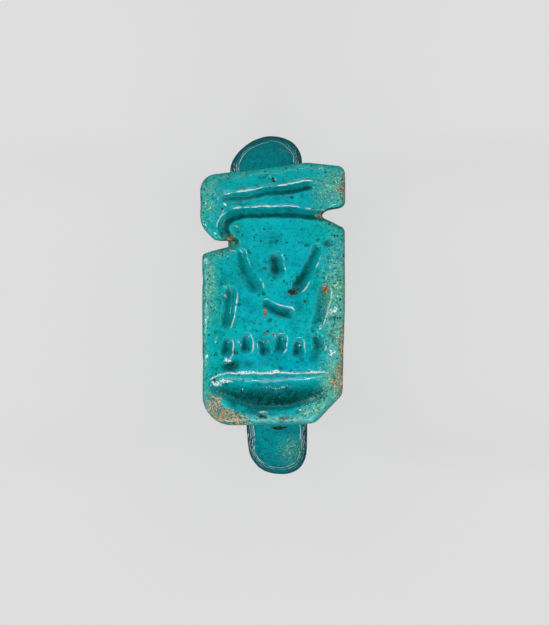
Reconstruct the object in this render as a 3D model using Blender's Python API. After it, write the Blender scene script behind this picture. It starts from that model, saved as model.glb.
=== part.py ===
"""A glazed seal ring: a tablet with a notched outline and pressed strokes, luted to a round hoop.

The ring rests on a small flat at the back of its hoop, with the tablet facing up. The origin is the
middle of that flat, +Z points to the tablet's face, +Y runs along the tablet and X through the hoop.
The shapes are worked out in millimetres and brought to metres at the end.
"""

import math
from dataclasses import dataclass

import bmesh
import bpy
import numpy as np
from mathutils import Matrix, Vector

MM = 0.001

# The hoop, a rod of paste bent round a former.
HOOP_RADIUS = 11.0
HOLE_RADIUS = 8.6
BORE_ROUND = 0.3
FLAT_CUT = 0.3
HOOP_MIDDLE = HOOP_RADIUS - FLAT_CUT
HOOP_SHIFT = 0.16
HOOP_SLANT = 0.0345
HOOP_LEAN = 0.38

# The hoop's section on its left and on its right, each at the tablet, on the cap's side, on the foot's side
# and at the back: how far it reaches sideways, how high its crown stands, and how square its shoulder is.
HOOP_LEFT = ((1.7, 1.7, 2.3), (2.66, 2.2, 1.7), (2.08, 1.95, 2.3), (1.95, 0.95, 2.3))
HOOP_RIGHT = ((2.4, 1.7, 2.3), (2.03, 1.7, 2.2), (1.72, 1.95, 2.3), (1.95, 0.95, 2.3))

# The tablet: a plate that follows the finger with a slow curve along its length.
FACE_HEIGHT = 22.3
PLATE_THICKNESS = 2.1
PLATE_CURVE_RADIUS = 24.0
EDGE_ROUND = 0.5
LUTING = 1.0

# Corners of the tablet, anticlockwise from the upper left: x, y and the radius that each is turned on.
TABLET_CORNERS = (
    (-4.68, 8.22, 1.05),
    (-4.68, 5.05, 1.5),
    (-3.75, 4.11, 0.5),
    (-2.62, 4.03, 0.12),
    (-2.62, 3.76, 0.12),
    (-3.90, 3.44, 0.9),
    (-4.54, 3.22, 0.25),
    (-4.52, -7.72, 1.9),
    (2.62, -7.58, 1.0),
    (4.40, -5.70, 0.8),
    (4.54, 0.00, 6.0),
    (4.54, 4.88, 0.35),
    (2.95, 5.68, 0.16),
    (3.55, 6.05, 0.6),
    (4.58, 6.22, 0.45),
    (4.56, 8.84, 0.55),
    (2.00, 9.10, 2.5),
)
ARC_STEP = math.radians(15)


@dataclass(frozen=True)
class Stroke:
    """A line pressed into the face: the points it runs through, its half width and its depth.

    Where it begins narrower, wider or shallower, its first width and depth say so. The floor's power is
    how flat its floor is, and the wall's how softly its wall leaves the face.
    """

    route: tuple
    half_width: float
    depth: float
    first_width: float = None
    first_depth: float = None
    pointed: bool = False
    floor_power: float = 1.4
    wall_power: float = 1.2


# The two lines that make the tablet's cap: a groove along it, and the seam from notch to notch.
CAP_GROOVE = Stroke(((-3.10, 6.84), (-0.90, 7.08), (2.25, 7.60)), 0.34, 0.34, 0.34, 0.22)
CAP_SEAM = Stroke(
    ((-2.50, 3.92), (-3.06, 4.50), (-3.20, 5.10), (-2.80, 5.58), (-2.00, 5.80), (0.60, 5.92), (3.00, 5.68)),
    0.42,
    0.40,
)

# The pressed marks below the cap, in rows of plain strokes, and the trough at the foot.
TOP_ROW = (
    Stroke(((-2.05, 3.22), (-1.74, 2.10), (-1.12, 1.12)), 0.50, 0.50, 0.36, 0.36),
    Stroke(((0.12, 2.95), (0.22, 2.20)), 0.52, 0.50, 0.48, 0.46),
    Stroke(((2.72, 3.55), (2.26, 2.40), (1.62, 1.28)), 0.48, 0.48, 0.36, 0.34),
)
MIDDLE_ROW = (
    Stroke(((-2.80, 0.76), (-2.86, -0.30), (-3.02, -1.16)), 0.38, 0.40, 0.46, 0.44),
    Stroke(((-0.50, 0.06), (0.20, -0.38), (0.92, -0.56)), 0.46, 0.46, 0.36, 0.38),
    Stroke(((3.22, 0.90), (3.02, -0.20), (2.78, -1.16)), 0.40, 0.40, 0.46, 0.44),
)
SHORT_COLUMNS = (-2.95, -1.74, -0.64, 0.46, 1.56, 2.80)
SHORT_MIDDLE, SHORT_LENGTH, SHORT_STAGGER, SHORT_LEAN = -2.55, 0.52, 0.13, 0.05
SHORT_SIZES = (0.44, 0.44, 0.38, 0.38)
TROUGH_ROUTE = ((-3.95, -4.96), (-2.00, -5.42), (0.00, -5.56), (2.00, -5.36), (3.80, -4.76))
TROUGH = Stroke(TROUGH_ROUTE, 1.20, 0.62, pointed=True, floor_power=2.0, wall_power=1.3)

# Meshing: the plain rod that the hoop starts from, how far apart the plate is cut for its curve, the voxel
# that fuses the pieces, how often the skin is evened, the triangles that are kept, and how dearly the
# tablet's face holds its own.
ROD_WIDTH, ROD_THICKNESS, ROD_SQUARENESS, ROD_SIDES, HOOP_STEPS = 5.8, 2.6, 0.4, 32, 96
PLATE_STEP = 1.0
VOXEL = 0.16
EVEN_ROUNDS = 3
SOLID_TRIANGLES = 9600
FACE_WEIGHT, FACE_HOLD = 0.9, 0.003

# The face's skin is what lies this near the top of the plate, as a share of its thickness, and this level.
FACE_DEPTH, FACE_LEVEL = 0.4, 0.3
TINY, ON_PLANE = 1e-6, 1e-5
SHARP_ANGLE = math.radians(50)


def arc_corner(before, corner, after):
    """Points of the arc that turns one corner of the tablet's outline."""
    x, y, radius = corner
    here = Vector((x, y))
    back = (Vector(before[:2]) - here).normalized()
    on = (Vector(after[:2]) - here).normalized()
    half = back.angle(on) / 2
    centre = here + (back + on).normalized() * (radius / math.sin(half))
    reach = radius / math.tan(half)
    first = here + back * reach - centre
    last = here + on * reach - centre
    turn = first.angle_signed(last)
    steps = max(2, math.ceil(abs(turn) / ARC_STEP))
    return [centre + Matrix.Rotation(-turn * i / steps, 2) @ first for i in range(steps + 1)]


def tablet_outline():
    """The tablet's outline as points, with every corner turned on its arc."""
    count = len(TABLET_CORNERS)
    points = []
    for i, corner in enumerate(TABLET_CORNERS):
        points += arc_corner(TABLET_CORNERS[i - 1], corner, TABLET_CORNERS[(i + 1) % count])
    return np.array(points)


def outline_distance(x, y, outline):
    """Distance from each point to the outline, below zero inside it."""
    nearest = np.full(x.shape, np.inf)
    inside = np.zeros(x.shape, bool)
    for start, end in zip(outline, np.roll(outline, -1, axis=0)):
        run = end - start
        along = np.clip(((x - start[0]) * run[0] + (y - start[1]) * run[1]) / (run @ run), 0, 1)
        nearest = np.minimum(nearest, np.hypot(x - start[0] - along * run[0], y - start[1] - along * run[1]))
        if start[1] != end[1]:
            crosses = (start[1] > y) != (end[1] > y)
            inside ^= crosses & (x < start[0] + (y - start[1]) * run[0] / run[1])
    return np.where(inside, -nearest, nearest)


def face_drop(y):
    """How far the curved plate has fallen from its middle at this distance along it."""
    return y * y / (2 * PLATE_CURVE_RADIUS)


def plate_distance(points, outline):
    """Distance to the tablet with its rim rounded over."""
    x, y, z = points.T
    flat_z = z + face_drop(y) - (FACE_HEIGHT - PLATE_THICKNESS / 2)
    sideways = outline_distance(x, y, outline) + EDGE_ROUND
    upright = np.abs(flat_z) - (PLATE_THICKNESS / 2 - EDGE_ROUND)
    beyond = np.hypot(np.maximum(sideways, 0), np.maximum(upright, 0))
    return beyond + np.minimum(np.maximum(sideways, upright), 0) - EDGE_ROUND


def round_the_hoop(stations, y, rise):
    """The section's three sizes at each point, from those at the tablet, the two sides and the back."""
    front, cap, foot, back = np.array(stations)
    y, rise = y[:, None], rise[:, None]
    share = rise**2 / (rise**2 + y**2)
    return (np.where(rise > 0, front, back) * share + np.where(y > 0, cap, foot) * (1 - share)).T


def hoop_distance(points):
    """Distance to the hoop, whose section is a crowned band, flat in the bore, that changes round it."""
    x, y, z = points.T
    rise = z - HOOP_MIDDLE
    around = np.hypot(y, rise)
    lean = HOOP_LEAN * np.maximum(rise, 0) / around
    across = x - (HOOP_SHIFT - HOOP_SLANT * y - lean)
    left, right = round_the_hoop(HOOP_LEFT, y, rise), round_the_hoop(HOOP_RIGHT, y, rise)
    reach, crown, power = np.where(across < 0, left, right)
    rise_on_crown = np.maximum(around - (HOOP_RADIUS - crown), 0)
    share = (np.abs(across / reach) ** power + (rise_on_crown / crown) ** power) ** (1 / power)
    crowned = np.hypot(across, rise_on_crown) * (1 - 1 / np.maximum(share, TINY)) + BORE_ROUND
    bored = HOLE_RADIUS - around + BORE_ROUND
    beyond = np.hypot(np.maximum(crowned, 0), np.maximum(bored, 0))
    return beyond + np.minimum(np.maximum(crowned, bored), 0) - BORE_ROUND


def ring_distance(points, outline):
    """Distance to the whole ring: plate and hoop, with the luting as a fillet between them."""
    plate = plate_distance(points, outline)
    hoop = hoop_distance(points)
    share = np.clip(0.5 + 0.5 * (hoop - plate) / LUTING, 0, 1)
    return hoop * (1 - share) + plate * share - LUTING * share * (1 - share)


def settled(points, outline, rounds, probe=1e-3):
    """Points moved along the shortest way onto the ring's surface."""
    for _ in range(rounds):
        value = ring_distance(points, outline)
        slope = np.stack(
            [
                (ring_distance(points + step, outline) - ring_distance(points - step, outline)) / (2 * probe)
                for step in np.eye(3) * probe
            ],
            axis=1,
        )
        points = points - slope * (value / np.maximum((slope**2).sum(axis=1), TINY))[:, None]
    return points


def evened(points, edges):
    """Points moved halfway to the middle of their neighbours."""
    total, count = np.zeros(points.shape), np.zeros(len(points))
    for here, there in (edges.T, edges.T[::-1]):
        np.add.at(total, here, points[there])
        np.add.at(count, here, 1)
    return (points + total / count[:, None]) / 2


def smooth_route(route, pieces=6):
    """The curve through a stroke's points, as short straight pieces."""
    points = [Vector(point) for point in route]
    if len(points) == 2:
        return np.array(points)
    ends = [2 * points[0] - points[1], *points, 2 * points[-1] - points[-2]]
    curve = []
    for a, b, c, d in zip(ends, ends[1:], ends[2:], ends[3:]):
        for share in np.arange(pieces) / pieces:
            slope, bend = (c - a) / 2, a - 2.5 * b + 2 * c - d / 2
            curve.append(b + slope * share + bend * share**2 + (1.5 * (b - c) + (d - a) / 2) * share**3)
    return np.array([*curve, points[-1]])


def stroke_depth(x, y, stroke):
    """Depth of one stroke at each point, deepest along its middle."""
    route = smooth_route(stroke.route)
    lengths = np.hypot(*np.diff(route, axis=0).T)
    first_width, first_depth = stroke.first_width or stroke.half_width, stroke.first_depth or stroke.depth
    pressed, done = np.zeros(x.shape), 0.0
    for start, end, length in zip(route[:-1], route[1:], lengths):
        run = (end - start) / length
        along = np.clip((x - start[0]) * run[0] + (y - start[1]) * run[1], 0, length)
        off = np.hypot(x - start[0] - along * run[0], y - start[1] - along * run[1])
        share = (done + along) / lengths.sum()
        spread = np.sqrt(np.maximum(1 - (2 * share - 1) ** 2, 1e-3)) if stroke.pointed else 1
        width = (first_width + (stroke.half_width - first_width) * share) * spread
        depth = (first_depth + (stroke.depth - first_depth) * share) * spread
        wall = (1 - np.clip(off / width, 0, 1) ** stroke.floor_power) ** stroke.wall_power
        pressed = np.maximum(pressed, depth * wall)
        done += length
    return pressed


def short_row():
    """The row of short upright strokes, alternately a little lower and higher."""
    row = []
    for i, column in enumerate(SHORT_COLUMNS):
        middle = SHORT_MIDDLE + SHORT_STAGGER * (-1) ** (i + 1)
        lean = SHORT_LEAN * (i % 3 - 1)
        route = ((column - lean, middle + SHORT_LENGTH / 2), (column + lean, middle - SHORT_LENGTH / 2))
        row.append(Stroke(route, *SHORT_SIZES))
    return row


def carving_depth(x, y):
    """Depth of everything that is pressed into the face."""
    strokes = [CAP_GROOVE, CAP_SEAM, *TOP_ROW, *MIDDLE_ROW, *short_row(), TROUGH]
    return np.max([stroke_depth(x, y, stroke) for stroke in strokes], axis=0)


def plate_block(outline):
    """The tablet as a plain curved block, square at its rim."""
    mesh = bmesh.new()
    rim = [mesh.verts.new((x, y, 0)) for x, y in outline]
    sole = mesh.faces.new(rim)
    raised = bmesh.ops.extrude_face_region(mesh, geom=[sole])["geom"]
    lifted = [item for item in raised if isinstance(item, bmesh.types.BMVert)]
    bmesh.ops.translate(mesh, verts=lifted, vec=(0, 0, PLATE_THICKNESS))
    low, high = outline[:, 1].min(), outline[:, 1].max()
    for y in np.arange(math.ceil(low), high, PLATE_STEP):
        everything = mesh.verts[:] + mesh.edges[:] + mesh.faces[:]
        bmesh.ops.bisect_plane(mesh, geom=everything, plane_co=(0, y, 0), plane_no=(0, 1, 0), dist=ON_PLANE)
    for vert in mesh.verts:
        vert.co.z += FACE_HEIGHT - PLATE_THICKNESS - face_drop(vert.co.y)
    bmesh.ops.recalc_face_normals(mesh, faces=mesh.faces)
    return mesh


def hoop_blank():
    """The hoop as a plain rod, nearly square in section and a little too large, turned about its middle."""
    mesh = bmesh.new()
    rod = bmesh.ops.create_circle(mesh, segments=ROD_SIDES, radius=1)["verts"]
    for vert in rod:
        vert.co = [math.copysign(abs(share) ** ROD_SQUARENESS, share) for share in vert.co]
    bmesh.ops.scale(mesh, vec=(ROD_WIDTH / 2, ROD_THICKNESS / 2, 1), verts=rod)
    bmesh.ops.translate(mesh, verts=rod, vec=(0, (HOOP_RADIUS + HOLE_RADIUS) / 2, HOOP_MIDDLE))
    bmesh.ops.spin(
        mesh,
        geom=mesh.edges[:],
        cent=(0, 0, HOOP_MIDDLE),
        axis=(1, 0, 0),
        angle=math.tau,
        steps=HOOP_STEPS,
        use_merge=True,
    )
    bmesh.ops.recalc_face_normals(mesh, faces=mesh.faces)
    return mesh


def as_object(name, mesh):
    """A new object in the scene that holds this bmesh, which is freed."""
    data = bpy.data.meshes.new(name)
    mesh.to_mesh(data)
    mesh.free()
    made = bpy.data.objects.new(name, data)
    bpy.context.scene.collection.objects.link(made)
    return made


def applied(made):
    """The object with its modifiers applied to its mesh."""
    bpy.context.view_layer.update()
    evaluated = made.evaluated_get(bpy.context.evaluated_depsgraph_get())
    result = bpy.data.meshes.new_from_object(evaluated)
    made.modifiers.clear()
    made.data = result
    return made


def fused(plate, hoop):
    """Plate and hoop as one skin of even quads."""
    union = plate.modifiers.new("luted", "BOOLEAN")
    union.operation = "UNION"
    union.object = hoop
    remesh = plate.modifiers.new("even", "REMESH")
    remesh.mode = "VOXEL"
    remesh.voxel_size = VOXEL
    made = applied(plate)
    bpy.data.objects.remove(hoop)
    return made


def coordinates(mesh):
    """The mesh's vertices as an array."""
    flat = np.empty(len(mesh.vertices) * 3)
    mesh.vertices.foreach_get("co", flat)
    return flat.reshape(-1, 3)


def height_on_plate(points):
    """Height of each point above the middle of the plate's thickness."""
    return points[:, 2] - (FACE_HEIGHT - PLATE_THICKNESS / 2 - face_drop(points[:, 1]))


def refine_face(made):
    """Quarters the quads of the tablet's face, for the strokes."""
    mesh = bmesh.new()
    mesh.from_mesh(made.data)
    edges = set()
    for face in mesh.faces:
        middle = face.calc_center_median()
        above = middle.z + face_drop(middle.y) - FACE_HEIGHT
        if above > -FACE_DEPTH * PLATE_THICKNESS and face.normal.z > FACE_LEVEL:
            edges.update(face.edges)
    bmesh.ops.subdivide_edges(mesh, edges=list(edges), cuts=1, use_grid_fill=True)
    mesh.to_mesh(made.data)
    mesh.free()


def shape(made, outline):
    """Settles the skin onto the ring's form and presses the strokes into its face."""
    edges = np.empty(2 * len(made.data.edges), int)
    made.data.edges.foreach_get("vertices", edges)
    points = coordinates(made.data)
    for _ in range(EVEN_ROUNDS):
        points = evened(settled(points, outline, rounds=2), edges.reshape(-1, 2))
    made.data.vertices.foreach_set("co", settled(points, outline, rounds=1).ravel())
    made.data.update()
    refine_face(made)
    points = settled(coordinates(made.data), outline, rounds=1)
    facing = np.clip(height_on_plate(points) / (PLATE_THICKNESS / 4), 0, 1)
    points[:, 2] -= carving_depth(points[:, 0], points[:, 1]) * facing
    made.data.vertices.foreach_set("co", points.ravel())
    made.data.update()


def lighten(made, triangles):
    """Fewer, larger triangles where the surface is calm, with more of them left on the tablet's face."""
    faces = sum(len(face.vertices) - 2 for face in made.data.polygons)
    on_face = np.flatnonzero(height_on_plate(coordinates(made.data)) > -PLATE_THICKNESS / 4)
    held = made.vertex_groups.new(name="face")
    held.add(on_face.tolist(), FACE_WEIGHT, "REPLACE")
    decimate = made.modifiers.new("lighter", "DECIMATE")
    decimate.ratio = triangles / faces
    decimate.vertex_group = held.name
    decimate.invert_vertex_group = True
    decimate.vertex_group_factor = FACE_HOLD
    return applied(made)


def cut_flat(made):
    """Takes the small flat off the back of the hoop and brings the ring to metres."""
    mesh = bmesh.new()
    mesh.from_mesh(made.data)
    everything = mesh.verts[:] + mesh.edges[:] + mesh.faces[:]
    cut = bmesh.ops.bisect_plane(
        mesh, geom=everything, plane_co=(0, 0, 0), plane_no=(0, 0, 1), dist=ON_PLANE, clear_inner=True
    )
    rim = [item for item in cut["geom_cut"] if isinstance(item, bmesh.types.BMEdge)]
    bmesh.ops.contextual_create(mesh, geom=rim)
    bmesh.ops.triangulate(mesh, faces=mesh.faces)
    bmesh.ops.scale(mesh, vec=(MM, MM, MM), verts=mesh.verts)
    mesh.to_mesh(made.data)
    mesh.free()


def glaze():
    """The turquoise glaze."""
    material = bpy.data.materials.new("turquoise_glaze")
    material.use_nodes = True
    shader = material.node_tree.nodes["Principled BSDF"]
    shader.inputs["Base Color"].default_value = (0.005, 0.36, 0.41, 1)
    shader.inputs["Roughness"].default_value = 0.18
    shader.inputs["Metallic"].default_value = 0.0
    return material


def seal_ring():
    """The whole ring, which is one solid."""
    outline = tablet_outline()
    ring = fused(as_object("seal_ring", plate_block(outline)), as_object("hoop_blank", hoop_blank()))
    shape(ring, outline)
    lighten(ring, SOLID_TRIANGLES)
    cut_flat(ring)
    ring.data.materials.clear()
    ring.data.materials.append(glaze())
    ring.data.shade_smooth()
    ring.data.set_sharp_from_angle(angle=SHARP_ANGLE)
    return ring


for old in list(bpy.data.objects):
    bpy.data.objects.remove(old)
seal_ring()
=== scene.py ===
"""The looks of a glazed seal ring: its skin, its glaze and its wear, in a plain pale studio.

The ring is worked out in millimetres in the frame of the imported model, and brought to metres at the end.
+Z points to the tablet's face, +Y runs along the tablet and X through the hoop. The back of the hoop
rests on the floor at the origin. An array of points has one row of x, y and z for each point.
"""

import logging
import math
from dataclasses import dataclass, field
from enum import Enum
from functools import partial, reduce
from typing import Optional, Union

import bmesh
import bpy
import numpy as np
from mathutils import Matrix, Vector, noise


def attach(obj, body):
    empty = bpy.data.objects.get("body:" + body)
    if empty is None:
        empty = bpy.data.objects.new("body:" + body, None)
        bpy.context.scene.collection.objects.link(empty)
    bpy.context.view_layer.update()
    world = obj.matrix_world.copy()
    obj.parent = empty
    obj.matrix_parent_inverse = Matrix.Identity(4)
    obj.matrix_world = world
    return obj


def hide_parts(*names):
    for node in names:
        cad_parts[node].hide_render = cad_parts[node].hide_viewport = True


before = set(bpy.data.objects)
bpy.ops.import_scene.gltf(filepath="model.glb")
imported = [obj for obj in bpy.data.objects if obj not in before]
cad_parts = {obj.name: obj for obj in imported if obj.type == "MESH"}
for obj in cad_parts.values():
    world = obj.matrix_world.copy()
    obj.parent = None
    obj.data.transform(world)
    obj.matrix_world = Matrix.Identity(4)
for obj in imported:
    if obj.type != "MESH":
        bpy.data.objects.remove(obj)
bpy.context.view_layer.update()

MM = 0.001
SEED = 11
SNAP = 1e-5
TINY = 1e-6

log = logging.getLogger("seal_ring")

Array = np.ndarray
Point = tuple[float, float]
Pair = tuple[float, float]
Colour = tuple[float, float, float]
Section = tuple[float, float, float]
BMesh = bmesh.types.BMesh
Mesh = bpy.types.Mesh
Object = bpy.types.Object
Socket = bpy.types.NodeSocket
Value = Union[Socket, float]
Tint = Union[Socket, Colour]


def linear(colour: Colour) -> tuple[float, float, float, float]:
    """A colour as Blender's shaders take it.

    Args:
        colour: red, green and blue as a screen shows them, 0 to 255.

    Returns:
        The same colour as linear light, with full cover.
    """
    shares = [value / 255 for value in colour]
    bent = [share / 12.92 if share <= 0.04045 else ((share + 0.055) / 1.055) ** 2.4 for share in shares]
    return (*bent, 1.0)


def ramp(value: Array, low: float, high: float) -> Array:
    """A smooth step from 0 at low to 1 at high."""
    share = np.clip((value - low) / (high - low), 0, 1)
    return share * share * (3 - 2 * share)


def bell(value: Array, middle: float, width: float) -> Array:
    """A smooth hump that is 1 in its middle and falls to about a third a width away from it."""
    return np.exp(-(((value - middle) / width) ** 2))


def overlap(first: Array, second: Array, radius: float) -> Array:
    """Distance to the overlap of two bodies that were set in by a radius, with its edge rounded over."""
    beyond = np.hypot(np.maximum(first, 0), np.maximum(second, 0))
    return beyond + np.minimum(np.maximum(first, second), 0) - radius


@dataclass(frozen=True)
class Drift:
    """Soft noise in space with swells of one size. The shift sets one noise apart from another."""

    size: float
    shift: float
    low: float = -1.0
    high: float = 1.0

    def values(self, points: Array) -> Array:
        """The noise at each point, from -1 to 1."""
        apart = Vector((self.shift, -self.shift, 2 * self.shift))
        return np.array([noise.noise(Vector(point) / self.size + apart) for point in points])

    def share(self, points: Array) -> Array:
        """The noise at each point as 0 where it is below low, and 1 where it is above high."""
        return ramp(self.values(points), self.low, self.high)


@dataclass
class Tablet:
    """The notched plate, which follows the finger with a slow curve along its length.

    Each corner of its outline is an x, a y and a radius.
    """

    face_height: float = 22.3
    thickness: float = 2.1
    curve_radius: float = 24.0
    edge_round: float = 0.5
    arc_step: float = math.radians(12)
    slice_length: float = 1.0
    corners: tuple[tuple[float, float, float], ...] = (
        (-4.68, 8.22, 1.05),
        (-4.68, 5.05, 1.5),
        (-3.75, 4.11, 0.5),
        (-2.62, 4.03, 0.12),
        (-2.62, 3.76, 0.12),
        (-3.90, 3.44, 0.9),
        (-4.54, 3.22, 0.25),
        (-4.52, -7.72, 1.9),
        (2.62, -7.58, 1.0),
        (4.40, -5.70, 0.8),
        (4.54, 0.00, 6.0),
        (4.54, 4.88, 0.35),
        (2.95, 5.68, 0.16),
        (3.55, 6.05, 0.6),
        (4.58, 6.22, 0.45),
        (4.56, 8.84, 0.55),
        (2.00, 9.10, 2.5),
    )
    outline: Array = field(init=False, repr=False)

    def __post_init__(self) -> None:
        """Turns the outline's corners once, for every later use."""
        turned: list[Vector] = []
        for i, corner in enumerate(self.corners):
            after = self.corners[(i + 1) % len(self.corners)]
            turned += self._turned(self.corners[i - 1], corner, after)
        self.outline = np.array(turned)

    def _turned(self, before: tuple, corner: tuple, after: tuple) -> list[Vector]:
        """One corner as the points of its arc.

        Args:
            before: the corner before it, as x, y and radius.
            corner: the corner itself.
            after: the corner after it.

        Returns:
            The arc's points, in the outline's direction.
        """
        here = Vector(corner[:2])
        back = (Vector(before[:2]) - here).normalized()
        on = (Vector(after[:2]) - here).normalized()
        half = back.angle(on) / 2
        centre = here + (back + on).normalized() * (corner[2] / math.sin(half))
        reach = corner[2] / math.tan(half)
        first = here + back * reach - centre
        turn = first.angle_signed(here + on * reach - centre)
        steps = max(2, math.ceil(abs(turn) / self.arc_step))
        return [centre + Matrix.Rotation(-turn * i / steps, 2) @ first for i in range(steps + 1)]

    def face_drop(self, y: Array) -> Array:
        """How far the curved plate has fallen from its middle at this distance along it."""
        return y * y / (2 * self.curve_radius)

    def rim_distance(self, x: Array, y: Array) -> Array:
        """Distance from each point to the outline in plan, below zero inside it.

        Args:
            x: places across the tablet.
            y: places along the tablet.

        Returns:
            One distance for each point.
        """
        nearest = np.full(x.shape, np.inf)
        inside = np.zeros(x.shape, bool)
        for start, end in zip(self.outline, np.roll(self.outline, -1, axis=0)):
            run = end - start
            along = np.clip(((x - start[0]) * run[0] + (y - start[1]) * run[1]) / (run @ run), 0, 1)
            off = np.hypot(x - start[0] - along * run[0], y - start[1] - along * run[1])
            nearest = np.minimum(nearest, off)
            if start[1] != end[1]:
                crosses = (start[1] > y) != (end[1] > y)
                inside ^= crosses & (x < start[0] + (y - start[1]) * run[0] / run[1])
        return np.where(inside, -nearest, nearest)

    def height(self, points: Array) -> Array:
        """Height of each point above the middle of the plate's thickness."""
        return points[:, 2] - (self.face_height - self.thickness / 2 - self.face_drop(points[:, 1]))

    def distance(self, points: Array) -> Array:
        """Distance from each point to the tablet's surface, with its rim rounded over.

        Args:
            points: places in the ring's space.

        Returns:
            One distance for each point, below zero inside the tablet.
        """
        sideways = self.rim_distance(points[:, 0], points[:, 1]) + self.edge_round
        upright = np.abs(self.height(points)) - (self.thickness / 2 - self.edge_round)
        return overlap(sideways, upright, self.edge_round)

    def block(self) -> BMesh:
        """The tablet as a plain curved block, square at its rim.

        Returns:
            A closed mesh, which the caller frees.
        """
        mesh = bmesh.new()
        sole = mesh.faces.new([mesh.verts.new((x, y, 0)) for x, y in self.outline])
        raised = bmesh.ops.extrude_face_region(mesh, geom=[sole])["geom"]
        lifted = [item for item in raised if isinstance(item, bmesh.types.BMVert)]
        bmesh.ops.translate(mesh, verts=lifted, vec=(0, 0, self.thickness))
        low, high = self.outline[:, 1].min(), self.outline[:, 1].max()
        for y in np.arange(math.ceil(low), high, self.slice_length):
            geometry = mesh.verts[:] + mesh.edges[:] + mesh.faces[:]
            bmesh.ops.bisect_plane(mesh, geom=geometry, plane_co=(0, y, 0), plane_no=(0, 1, 0), dist=SNAP)
        for vert in mesh.verts:
            vert.co.z += self.face_height - self.thickness - self.face_drop(vert.co.y)
        bmesh.ops.recalc_face_normals(mesh, faces=mesh.faces)
        return mesh


@dataclass
class Hoop:
    """The rod of paste bent round a former.

    Its section is given on the left and on the right, each at the tablet, on the cap's side, on the foot's
    side and at the back: how far it reaches sideways, how high its crown stands and how square its
    shoulder is.
    """

    radius: float = 11.0
    hole_radius: float = 8.6
    bore_round: float = 0.3
    flat_cut: float = 0.3
    shift: float = 0.16
    slant: float = 0.0345
    lean: float = 0.38
    left: tuple[Section, ...] = ((1.7, 1.7, 2.3), (2.66, 2.2, 1.7), (2.08, 1.95, 2.3), (1.95, 0.95, 2.3))
    right: tuple[Section, ...] = ((2.4, 1.7, 2.3), (2.03, 1.7, 2.2), (1.72, 1.95, 2.3), (1.95, 0.95, 2.3))
    rod_size: Pair = (5.8, 2.6)
    rod_squareness: float = 0.4
    rod_sides: int = 32
    turn_steps: int = 96
    waver: float = 0.05
    waver_drift: Drift = Drift(1.6, 41.0)
    quiver: float = 0.015
    quiver_drift: Drift = Drift(0.4, 43.0)

    @property
    def middle(self) -> float:
        """Height of the hoop's centre above the flat that it rests on."""
        return self.radius - self.flat_cut

    def across(self, points: Array) -> Array:
        """How far each point lies to the side of the hoop's own middle line.

        Args:
            points: places in the ring's space.

        Returns:
            One distance for each point, above zero to the right.
        """
        rise = points[:, 2] - self.middle
        lean = self.lean * np.maximum(rise, 0) / np.hypot(points[:, 1], rise)
        return points[:, 0] - (self.shift - self.slant * points[:, 1] - lean)

    def section(self, points: Array) -> Array:
        """Sideways reach, crown and squareness of the hoop on each point's own side.

        Args:
            points: places in the ring's space.

        Returns:
            One row for each size, with its value at each point.
        """
        y, rise = points[:, 1], points[:, 2] - self.middle
        upright = rise**2 / (rise**2 + y**2)
        sides = []
        for stations in (self.left, self.right):
            front, cap, foot, back = np.array(stations)[:, :, None]
            nearest = np.where(rise > 0, front, back), np.where(y > 0, cap, foot)
            sides.append(nearest[0] * upright + nearest[1] * (1 - upright))
        return np.where(self.across(points) < 0, *sides)

    def distance(self, points: Array) -> Array:
        """Distance from each point to the hoop's surface: a crowned band, flat in the bore.

        Args:
            points: places in the ring's space.

        Returns:
            One distance for each point, below zero inside the hoop.
        """
        across = self.across(points)
        reach, crown, power = self.section(points)
        around = np.hypot(points[:, 1], points[:, 2] - self.middle)
        rise = np.maximum(around - (self.radius - crown), 0)
        outward = (np.abs(across / reach) ** power + (rise / crown) ** power) ** (1 / power)
        crowned = np.hypot(across, rise) * (1 - 1 / np.maximum(outward, TINY)) + self.bore_round
        bored = self.hole_radius - around + self.bore_round
        return overlap(crowned, bored, self.bore_round)

    def flow(self, points: Array) -> Array:
        """How far out each point lies on the hoop's shoulders in plan, unevenly: it places the painted shade
        and the painted highlight lines there.

        Args:
            points: places on the ring.

        Returns:
            A share for each point: 0 on the hoop's middle line and about 1 on its outer edge.
        """
        side, crown, power = self.section(points)
        beyond = np.maximum((np.abs(points[:, 1]) - self.radius + crown) / crown, 0)
        beyond = np.where(points[:, 2] > self.middle, beyond, 0)
        outward = (np.abs(self.across(points) / side) ** power + beyond**power) ** (1 / power)
        outward += self.waver * self.waver_drift.values(points)
        return outward + self.quiver * self.quiver_drift.values(points)

    def blank(self) -> BMesh:
        """The hoop as a plain rod, nearly square and a little too large, turned about its centre.

        Returns:
            A closed mesh, which the caller frees.
        """
        mesh = bmesh.new()
        rod = bmesh.ops.create_circle(mesh, segments=self.rod_sides, radius=1)["verts"]
        for vert in rod:
            vert.co = [math.copysign(abs(side) ** self.rod_squareness, side) for side in vert.co]
        bmesh.ops.scale(mesh, vec=(self.rod_size[0] / 2, self.rod_size[1] / 2, 1), verts=rod)
        bmesh.ops.translate(mesh, verts=rod, vec=(0, (self.radius + self.hole_radius) / 2, self.middle))
        bmesh.ops.spin(
            mesh,
            geom=mesh.edges[:],
            cent=(0, 0, self.middle),
            axis=(1, 0, 0),
            angle=math.tau,
            steps=self.turn_steps,
            use_merge=True,
        )
        bmesh.ops.recalc_face_normals(mesh, faces=mesh.faces)
        return mesh


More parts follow.
